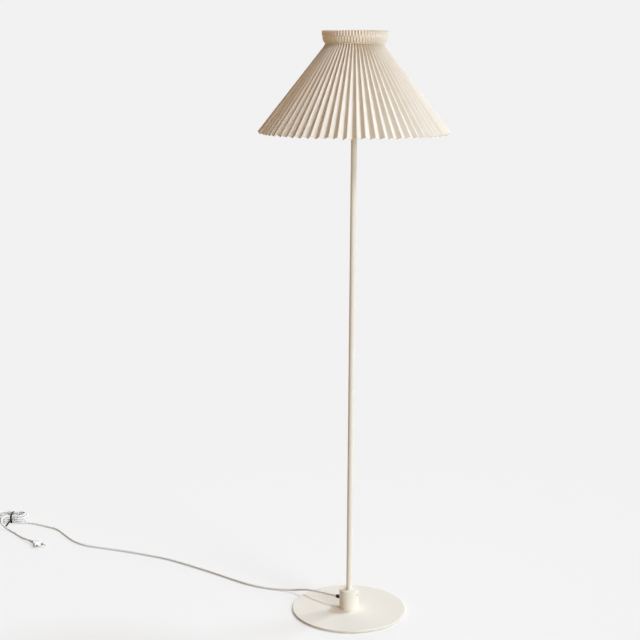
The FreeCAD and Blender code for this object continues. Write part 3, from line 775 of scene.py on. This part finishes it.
def sheet_finish():
    """Pleated sheet: matt, slightly fibrous and mottled, and it lets some light through."""
    finish = Finish("shade_sheet")
    fibre = finish.noise(SHEET_FIBRE, detail=4.0, stretch=SHEET_GRAIN)
    finish.paint(finish.noise(SHEET_MOTTLE, detail=5.0), SHEET_DARK, SHEET_LIGHT)
    finish.gloss(fibre, *SHEET_GLOSS)
    normal = finish.bump(fibre, SHEET_BUMP)
    finish.set({"Specular IOR Level": 0.35})
    through = finish.shader("ShaderNodeBsdfTranslucent", SHEET_THROUGH)
    finish.join(normal, through.node.inputs["Normal"])
    mixed = finish.mix(SHEET_SHARE, finish.main.outputs["BSDF"], through)
    finish.join(mixed, finish.surface)
    return finish.material


def textile_finish():
    """Braided sleeve: two sets of threads that cross on the slant round the cord."""
    finish = Finish("textile")
    lengths = CORD_LENGTH / (2 * math.pi * CORD_RADIUS) * BRAID_THREADS
    split = finish.add("ShaderNodeSeparateXYZ")
    finish.join(finish.add("ShaderNodeTexCoord").outputs["UV"], split.inputs["Vector"])
    along = finish.sums("MULTIPLY", split.outputs["X"], 2 * math.pi * lengths)
    turn = finish.sums("MULTIPLY", split.outputs["Y"], 2 * math.pi * BRAID_THREADS)
    first = finish.sums("SINE", finish.sums("ADD", along, turn), 0.0)
    second = finish.sums("SINE", finish.sums("SUBTRACT", along, turn), 0.0)
    braid = finish.sums("MAXIMUM", first, second)
    speck = finish.noise(BRAID_SPECK, detail=3.0)
    threads = finish.sums("ADD", braid, finish.sums("MULTIPLY", speck, BRAID_SPECK_SHARE))
    finish.paint(threads, TEXTILE_DARK, TEXTILE_LIGHT, start=0.0, end=1.0)
    finish.bump(threads, TEXTILE_BUMP)
    finish.set({"Roughness": 0.85, "Sheen Weight": 0.25})
    return finish.material


def dress(piece, material):
    piece.data.materials.clear()
    piece.data.materials.append(material)


def make_finishes():
    """All the finishes by name."""
    finishes = {name: plain_finish(name, *values) for name, values in PLAIN.items()}
    finishes.update({name: metal_finish(name, *values) for name, values in METALS.items()})
    finishes["felt"] = felt_finish()
    finishes["opal_glass"] = opal_finish()
    finishes["shade_sheet"] = sheet_finish()
    finishes["textile"] = textile_finish()
    return finishes


def add_floor():
    """Pale floor that keeps the object's shadow near it and fades into the backdrop further out."""
    half = FLOOR_SIZE / 2
    corners = [(-half, -half, 0), (half, -half, 0), (half, half, 0), (-half, half, 0)]
    floor = mesh_object("floor", corners, [(0, 1, 2, 3)])
    finish = Finish("floor")
    lifted = finish.add("ShaderNodeAddShader")
    finish.join(finish.shader("ShaderNodeBsdfDiffuse", FLOOR_LIT), lifted.inputs[0])
    finish.join(finish.shader("ShaderNodeEmission", FLOOR_GLOW), lifted.inputs[1])
    bounce = finish.shader("ShaderNodeBsdfDiffuse", FLOOR_BOUNCE)
    glow = finish.shader("ShaderNodeEmission", BACKDROP)
    length = finish.add("ShaderNodeVectorMath", operation="LENGTH")
    finish.join(finish.place, length.inputs[0])
    fade = finish.span(length.outputs["Value"], FLOOR_SHADOW, 0.0, FLOOR_NEAR, FLOOR_FAR)
    shown = finish.mix(fade, glow, lifted.outputs["Shader"])
    finish.join(finish.mix(finish.seen_ray(), bounce, shown), finish.surface)
    dress(floor, finish.material)


def add_world():
    """Fill light that goes from one side to the other, behind a plain backdrop."""
    scene.world = bpy.data.worlds.new("studio")
    tree = Tree(scene.world)
    fill = tree.nodes["Background"]
    towards = tree.add("ShaderNodeVectorMath", operation="DOT_PRODUCT")
    towards.inputs[1].default_value = FILL_WAY
    tree.join(tree.add("ShaderNodeTexCoord").outputs["Generated"], towards.inputs[0])
    across = tree.span(towards.outputs["Value"], 0.0, 1.0, *FILL_SPAN)
    tree.join(tree.ramp(across, *FILL_STOPS), fill.inputs["Color"])
    back = tree.shader("ShaderNodeBackground", BACKDROP)
    mixed = tree.mix(tree.seen_ray(), fill.outputs["Background"], back)
    tree.join(mixed, tree.nodes["World Output"].inputs["Surface"])


def add_keys():
    """Two soft lamps at the front right, one high at the right rear and one low behind.

    Only the high one shows in gloss, because the low ones would glare on the plate.
    """
    for side, height, power, colour, glossy in KEYS:
        data = bpy.data.lights.new("key", "SUN")
        data.energy = power
        data.angle = KEY_SPREAD
        data.color = colour
        lamp = link(bpy.data.objects.new("key", data))
        turn, rise = math.radians(side), math.radians(height)
        level = Vector((math.sin(turn), -math.cos(turn), 0))
        towards = level * math.cos(rise) + UP * math.sin(rise)
        lamp.rotation_mode = "QUATERNION"
        lamp.rotation_quaternion = towards.to_track_quat("Z", "Y")
        lamp.visible_glossy = glossy


add_camera()
cord = add_cord()
tie = add_tie()
relief = add_plug_relief()
shade = add_shade()
finishes = make_finishes()
for finish_name, wearers in WORN_BY.items():
    for wearer in wearers:
        dress(nodes[wearer], finishes[finish_name])
dress(shade, finishes["shade_sheet"])
dress(cord, finishes["textile"])
dress(tie, finishes["tie_plastic"])
dress(relief, finishes["relief_plastic"])
add_floor()
add_world()
add_keys()

bpy.context.view_layer.update()
